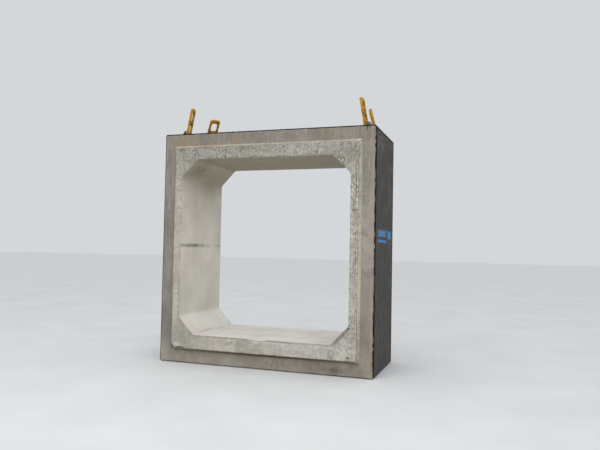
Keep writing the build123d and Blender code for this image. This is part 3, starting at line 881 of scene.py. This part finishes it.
def worn_paint():
    """Yellow paint on forged steel: faded, rubbed to bare metal at the crown, and rusty and
    chipped dark about the web and the foot."""
    material, tree, shader, place = new_material("worn_yellow_paint")
    fresh, faded = colour(199, 151, 8), colour(183, 134, 20)
    dark, rust, bare = colour(64, 48, 34), colour(122, 60, 32), colour(184, 140, 92)
    up = node(tree, "ShaderNodeAttribute", attribute_name="up").outputs["Fac"]
    base = mixed(tree, cloud(tree, place, 0.08, 4.0), fresh, faded)
    web_up = 0.47
    from_web = reckon(tree, "ABSOLUTE", reckon(tree, "SUBTRACT", up, web_up))
    by_web = spread(tree, from_web, 0.16, 0.04)
    by_foot = spread(tree, up, 0.28, 0.12)
    worst = reckon(tree, "MAXIMUM", by_web, by_foot)
    grime = cloud(tree, place, 0.05, 5.0, 0.54, 0.70)
    grime = reckon(tree, "ADD", grime, reckon(tree, "MULTIPLY", worst, 0.45))
    base = mixed(tree, reckon(tree, "MULTIPLY", grime, 0.50, clamp=True), base, rust)
    chips = node(tree, "ShaderNodeTexNoise", {"Vector": place, "Scale": 30.0, "Detail": 6.0}).outputs[0]
    bared = spread(tree, reckon(tree, "ADD", chips, reckon(tree, "MULTIPLY", worst, 0.05)), 0.60, 0.64)
    base = mixed(tree, reckon(tree, "MULTIPLY", bared, 0.85), base, dark)
    rubbed = reckon(tree, "MULTIPLY", spread(tree, up, 0.84, 0.97), cloud(tree, place, 0.04, 4.0, 0.35, 0.6))
    base = mixed(tree, reckon(tree, "MULTIPLY", rubbed, 0.7), base, bare)
    speck = cloud(tree, place, 0.006, 3.0, 0.55, 0.70)
    base = mixed(tree, reckon(tree, "MULTIPLY", speck, 0.30), base, dark)
    height = reckon(tree, "SUBTRACT", reckon(tree, "MULTIPLY", speck, 0.3), bared)
    finish_surface(tree, shader, base, height, 0.0007, spread(tree, bared, 0.0, 1.0, 0.50, 0.75))
    shader.inputs["Specular IOR Level"].default_value = 0.25
    return material


def hammered(name, finish):
    """Rules that leave slow dents all over a forging and give it its finish."""
    tree = bpy.data.node_groups.new(name, "GeometryNodeTree")
    size = named_inputs(tree, {"dent": 0.0007, "dent_size": 0.045, "seed": 5.0})
    dent = reckon(tree, "MULTIPLY", lump(tree, size["dent_size"], size["seed"], 2.0), size["dent"])
    dented = pushed_in(tree, size["Geometry"], dent)
    finished = node(tree, "GeometryNodeSetMaterial", {0: dented, "Material": finish}).outputs[0]
    node(tree, "NodeGroupOutput", {0: finished})
    return tree


kinds = (
    # kind, size of its voxels, its rules, its slot
    ("ball", 0.0025, hammered("hammered_ball", ball_steel), "forged_steel"),
    ("bail", 0.003, hammered("hammered_bail", worn_paint()), "yellow_paint"),
)
for number, name in enumerate(CLUTCHES):
    for kind, voxel, tree, slot in kinds:
        forged = forging(f"forged_{kind}_{name}", f"clutch_{kind}_{name}", voxel)
        worked(forged, tree, seed=5.0 + number)
        smooth(forged, sharp_from=50)
        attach(forged, f"{kind}_{name}")
        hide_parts(f"clutch_{kind}_{name}")


# The studio. A pale floor runs to the horizon under a pale sky that is brightest overhead,
# with one broad soft lamp above and in front.
FLOOR_REACH = 90.0
floor_corners = [(FLOOR_REACH * x, FLOOR_REACH * y, 0) for x, y in ((-1, -1), (1, -1), (1, 1), (-1, 1))]
floor = new_piece("studio_floor", floor_corners, [(0, 1, 2, 3)])


def seen_directly(tree):
    """One for what the camera sees, itself or through a reflection, and nought for the light."""
    path = node(tree, "ShaderNodeLightPath").outputs
    seen = reckon(tree, "MAXIMUM", path["Is Camera Ray"], path["Is Glossy Ray"])
    return reckon(tree, "MAXIMUM", seen, path["Is Transmission Ray"])


floor_material, tree, shader, place = new_material("studio_floor")
pale_floor = mixed(tree, cloud(tree, place, 1.2, 4.0), colour(196, 197, 197), colour(202, 203, 203))
floor_look = mixed(tree, seen_directly(tree), colour(146, 143, 136), pale_floor)
tree.links.new(floor_look, shader.inputs["Base Color"])
shader.inputs["Roughness"].default_value = 0.9
floor.data.materials.append(floor_material)

SKY_LIGHT = 0.95
SKY_TINT = (0.96, 0.98, 1.0, 1.0)
world = bpy.data.worlds.new("studio")
bpy.context.scene.world = world
world.use_nodes = True
tree = world.node_tree
tree.nodes.clear()
direction = node(tree, "ShaderNodeTexCoord").outputs["Generated"]
upwards = node(tree, "ShaderNodeSeparateXYZ", {0: direction}).outputs["Z"]
above = spread(tree, upwards, 0.0, 0.9, 0.7, 1.3)
lit = node(tree, "ShaderNodeBackground", {
    "Color": SKY_TINT, "Strength": reckon(tree, "MULTIPLY", above, SKY_LIGHT)}).outputs[0]
backdrop = node(tree, "ShaderNodeBackground", {"Color": colour(212, 215, 218)}).outputs[0]
shown = node(tree, "ShaderNodeMixShader", {0: seen_directly(tree), 1: lit, 2: backdrop}).outputs[0]
node(tree, "ShaderNodeOutputWorld", {"Surface": shown})

LAMP_PLACE = Vector((0.5, -5.5, 8.5))
lamp_data = bpy.data.lights.new("soft_lamp", "AREA")
lamp_data.shape = "SQUARE"
lamp_data.size = 6.0
lamp_data.energy = 330.0
lamp = bpy.data.objects.new("soft_lamp", lamp_data)
lamp.location = LAMP_PLACE
lamp.rotation_euler = (Vector((0, 0, HEIGHT / 2)) - LAMP_PLACE).to_track_quat("-Z", "Y").to_euler()
bpy.context.scene.collection.objects.link(lamp)


# The camera. It stands 8 m in front of the unit, to the right of it and 1.8 m up. Its place,
# its turn and its lens are fitted to the unit's edges in the photograph.
CAMERA_PLACE = Vector((3.36921, -8.81062, 1.80043))
YAW, PITCH, ROLL = -0.32918, 0.03992, 0.01901
forward = Vector((sin(YAW) * cos(PITCH), cos(YAW) * cos(PITCH), sin(PITCH)))
level_right = Vector((cos(YAW), -sin(YAW), 0))
level_up = level_right.cross(forward)
right = level_right * cos(ROLL) + level_up * sin(ROLL)
up = -level_right * sin(ROLL) + level_up * cos(ROLL)
camera_data = bpy.data.cameras.new("camera")
camera_data.sensor_width = 36.0
camera_data.lens = 35.372
camera = bpy.data.objects.new("camera", camera_data)
camera.matrix_world = Matrix.Translation(CAMERA_PLACE) @ Matrix((right, up, -forward)).transposed().to_4x4()
bpy.context.scene.collection.objects.link(camera)
bpy.context.scene.camera = camera
bpy.context.scene.view_settings.view_transform = "Standard"
